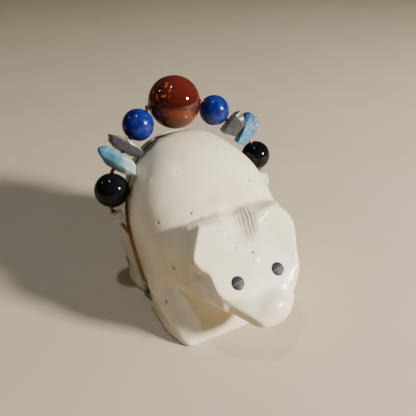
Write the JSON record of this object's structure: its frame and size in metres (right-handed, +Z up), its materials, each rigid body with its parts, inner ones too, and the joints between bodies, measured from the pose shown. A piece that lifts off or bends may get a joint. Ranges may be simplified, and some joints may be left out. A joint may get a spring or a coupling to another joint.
{
  "type": "carved stone bear figure",
  "caption": "Small carved stone bear standing with its head low, with inlaid eyes and a string of stone beads and chips tied over its back with sinew.",
  "frame": {"origin": "on the ground under the middle of the bounding box", "axes": "+Z up, the bear faces -Y, its left side is +X"},
  "size_m": [0.037, 0.0462, 0.038],
  "materials": {
    "cream_stone": "polished cream stone with fine pits",
    "jet": "dark polished stone inlay",
    "sinew": "brown waxed sinew",
    "amber": "clear red-brown amber",
    "lapis": "polished deep blue stone",
    "onyx": "polished black stone",
    "turquoise": "tumbled sky-blue stone",
    "grey_quartz": "cloudy smoke-grey quartz",
    "clear_quartz": "cloudy clear quartz"
  },
  "bodies": {
    "bear": {"bear_carving": "cream_stone", "right_eye_inlay": "jet", "left_eye_inlay": "jet", "sinew_band": "sinew", "bead_strand": "sinew", "belly_knot": "sinew"},
    "amber_bead_body": {"amber_bead": "amber"},
    "lapis_bead_right_body": {"lapis_bead_right": "lapis"},
    "grey_chip_right_body": {"grey_chip_right": "grey_quartz"},
    "turquoise_chip_right_body": {"turquoise_chip_right": "turquoise"},
    "onyx_bead_right_body": {"onyx_bead_right": "onyx"},
    "clear_chip_right_body": {"clear_chip_right": "clear_quartz"},
    "lapis_bead_left_body": {"lapis_bead_left": "lapis"},
    "grey_chip_left_body": {"grey_chip_left": "grey_quartz"},
    "turquoise_chip_left_body": {"turquoise_chip_left": "turquoise"},
    "onyx_bead_left_body": {"onyx_bead_left": "onyx"},
    "clear_chip_left_body": {"clear_chip_left": "clear_quartz"}
  },
  "joints": [
    {"name": "amber_bead_spin", "type": "hinge", "parent": "bear", "child": "amber_bead_body", "pos_m": [0, 0.01332, 0.033], "axis": [1, 0, 0], "continuous": true},
    {"name": "lapis_bead_right_spin", "type": "hinge", "parent": "bear", "child": "lapis_bead_right_body", "pos_m": [-0.0078, 0.01237, 0.0303], "axis": [-0.6862, -0.2414, -0.6862], "continuous": true},
    {"name": "grey_chip_right_turn", "type": "hinge", "parent": "bear", "child": "grey_chip_right_body", "pos_m": [-0.01103, 0.01114, 0.02702], "axis": [-0.661, -0.2904, -0.6919], "range_deg": [-12, 12]},
    {"name": "turquoise_chip_right_turn", "type": "hinge", "parent": "bear", "child": "turquoise_chip_right_body", "pos_m": [-0.01328, 0.01008, 0.02474], "axis": [-0.6698, -0.337, -0.6617], "range_deg": [-10, 10]},
    {"name": "onyx_bead_right_spin", "type": "hinge", "parent": "bear", "child": "onyx_bead_right_body", "pos_m": [-0.0152, 0.00837, 0.0205], "axis": [-0.2216, -0.3324, -0.9167], "continuous": true},
    {"name": "clear_chip_right_turn", "type": "hinge", "parent": "bear", "child": "clear_chip_right_body", "pos_m": [-0.01525, 0.00674, 0.01573], "axis": [0.3621, -0.2723, -0.8915], "range_deg": [-12, 12]},
    {"name": "lapis_bead_left_spin", "type": "hinge", "parent": "bear", "child": "lapis_bead_left_body", "pos_m": [0.00803, 0.01237, 0.0303], "axis": [0.7158, -0.2318, -0.6587], "continuous": true},
    {"name": "grey_chip_left_turn", "type": "hinge", "parent": "bear", "child": "grey_chip_left_body", "pos_m": [0.01138, 0.01115, 0.02706], "axis": [0.6534, -0.2915, -0.6987], "range_deg": [-12, 12]},
    {"name": "turquoise_chip_left_turn", "type": "hinge", "parent": "bear", "child": "turquoise_chip_left_body", "pos_m": [0.0137, 0.01004, 0.02464], "axis": [0.6611, -0.3348, -0.6714], "range_deg": [-10, 10]},
    {"name": "onyx_bead_left_spin", "type": "hinge", "parent": "bear", "child": "onyx_bead_left_body", "pos_m": [0.01566, 0.00837, 0.0205], "axis": [0.2279, -0.3319, -0.9153], "continuous": true},
    {"name": "clear_chip_left_turn", "type": "hinge", "parent": "bear", "child": "clear_chip_left_body", "pos_m": [0.0157, 0.0068, 0.01591], "axis": [-0.3531, -0.275, -0.8943], "range_deg": [-12, 12]}
  ]
}
